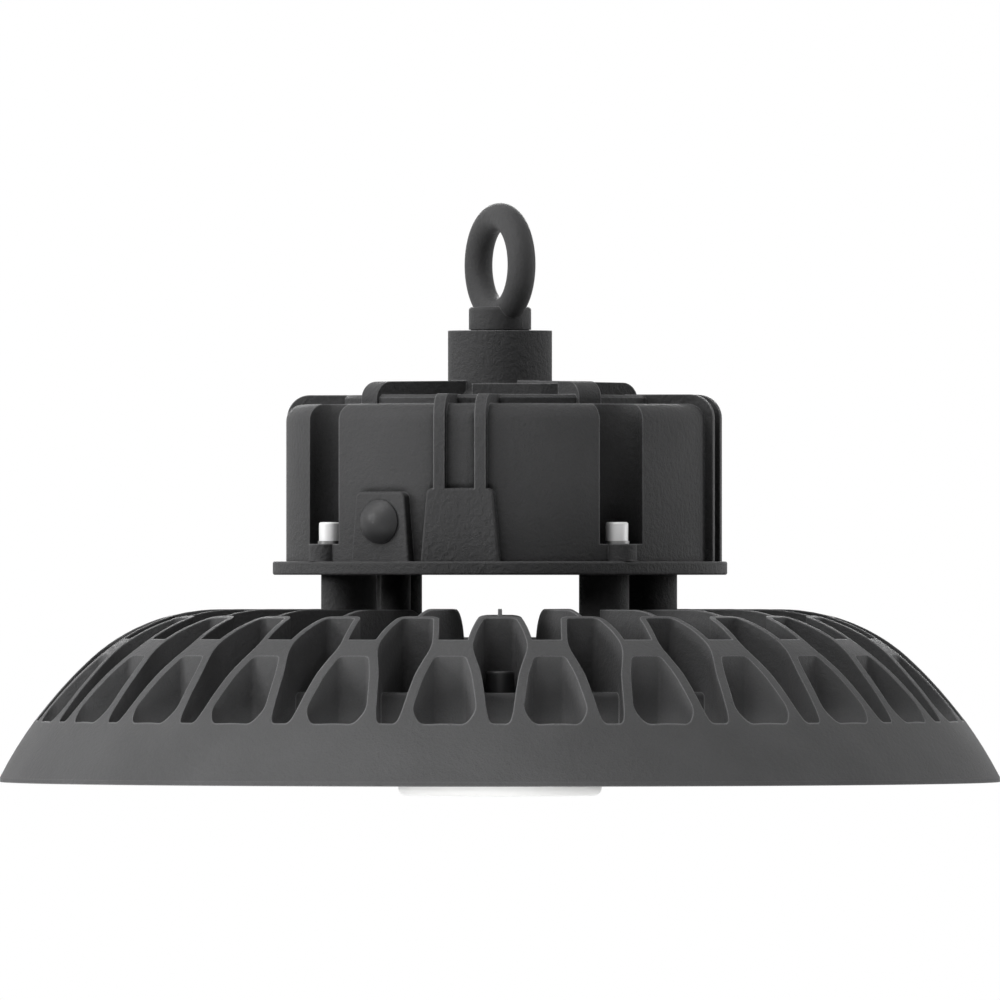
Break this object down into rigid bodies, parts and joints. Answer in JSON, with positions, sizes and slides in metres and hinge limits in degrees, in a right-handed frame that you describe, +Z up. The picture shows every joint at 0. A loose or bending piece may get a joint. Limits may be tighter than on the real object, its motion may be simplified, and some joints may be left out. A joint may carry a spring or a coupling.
{
  "type": "industrial led light",
  "caption": "Round hanging high bay light with a honeycomb heat sink, a driver housing on posts and a lifting eye.",
  "frame": {"origin": "on the light's axis, level with the lowest face of the centre cap", "axes": "+Z up towards the lifting eye, the eye's ring in the XZ plane"},
  "size_m": [0.29, 0.29, 0.1719],
  "materials": {
    "cast_grey": "die cast, dark grey fine-texture powder coat",
    "cast_grey_steel": "forged steel, dark grey coat",
    "bright_steel": "plain bright steel",
    "dark_steel": "black oxide",
    "black_rubber": "matt rubber",
    "white_silicone": "white silicone",
    "black_plastic": "black nylon",
    "green_board": "green glass-fibre board",
    "core_dark": "ferrite and tape",
    "can_sleeve": "sleeved can",
    "terminal_plastic": "light grey nylon",
    "lead_red": "red wire cover",
    "lead_black": "black wire cover",
    "pad_grey": "soft grey thermal pad",
    "white_board": "aluminium-core board with a white mask",
    "chip_yellow": "yellow phosphor in a white frame",
    "clear_lens": "clear moulded polycarbonate",
    "ring_grey": "plain anodised ring",
    "white_cap": "white moulded plastic"
  },
  "bodies": {
    "root": {"base_screw_1": "bright_steel", "base_screw_2": "bright_steel", "base_screw_3": "bright_steel", "base_screw_4": "bright_steel", "board_screw_1": "bright_steel", "board_screw_2": "bright_steel", "board_screw_3": "bright_steel", "board_screw_4": "bright_steel", "board_spacer_1": "terminal_plastic", "board_spacer_2": "terminal_plastic", "board_spacer_3": "terminal_plastic", "board_spacer_4": "terminal_plastic", "bulk_capacitor_1": "can_sleeve", "bulk_capacitor_2": "can_sleeve", "centre_cap": "white_cap", "centre_cap_seal": "white_silicone", "cover_gasket": "black_rubber", "cover_screw_1": "bright_steel", "cover_screw_2": "bright_steel", "cover_screw_3": "bright_steel", "cover_screw_4": "bright_steel", "cover_washer_1": "dark_steel", "cover_washer_2": "dark_steel", "cover_washer_3": "dark_steel", "cover_washer_4": "dark_steel", "driver_base_plate": "cast_grey", "driver_board": "green_board", "driver_cover": "cast_grey", "duct_grommet": "black_rubber", "eye_bolt": "cast_grey_steel", "eye_washer": "black_rubber", "gland_body": "black_plastic", "gland_lock_nut": "black_plastic", "gland_nut": "black_plastic", "gland_seal": "black_rubber", "heat_sink": "cast_grey", "led_board": "white_board", "led_chips": "chip_yellow", "led_lead_1": "lead_red", "led_lead_2": "lead_black", "lens_gasket": "white_silicone", "lens_plate": "clear_lens", "lens_screw_1": "bright_steel", "lens_screw_2": "bright_steel", "lens_screw_3": "bright_steel", "lens_screw_4": "bright_steel", "lens_screw_5": "bright_steel", "lens_screw_6": "bright_steel", "lens_screw_7": "bright_steel", "lens_screw_8": "bright_steel", "line_choke": "core_dark", "retaining_ring": "ring_grey", "side_plug": "black_plastic", "terminal_block": "terminal_plastic", "thermal_pad": "pad_grey", "transformer": "core_dark", "vent_plug": "black_plastic"}
  },
  "joints": []
}
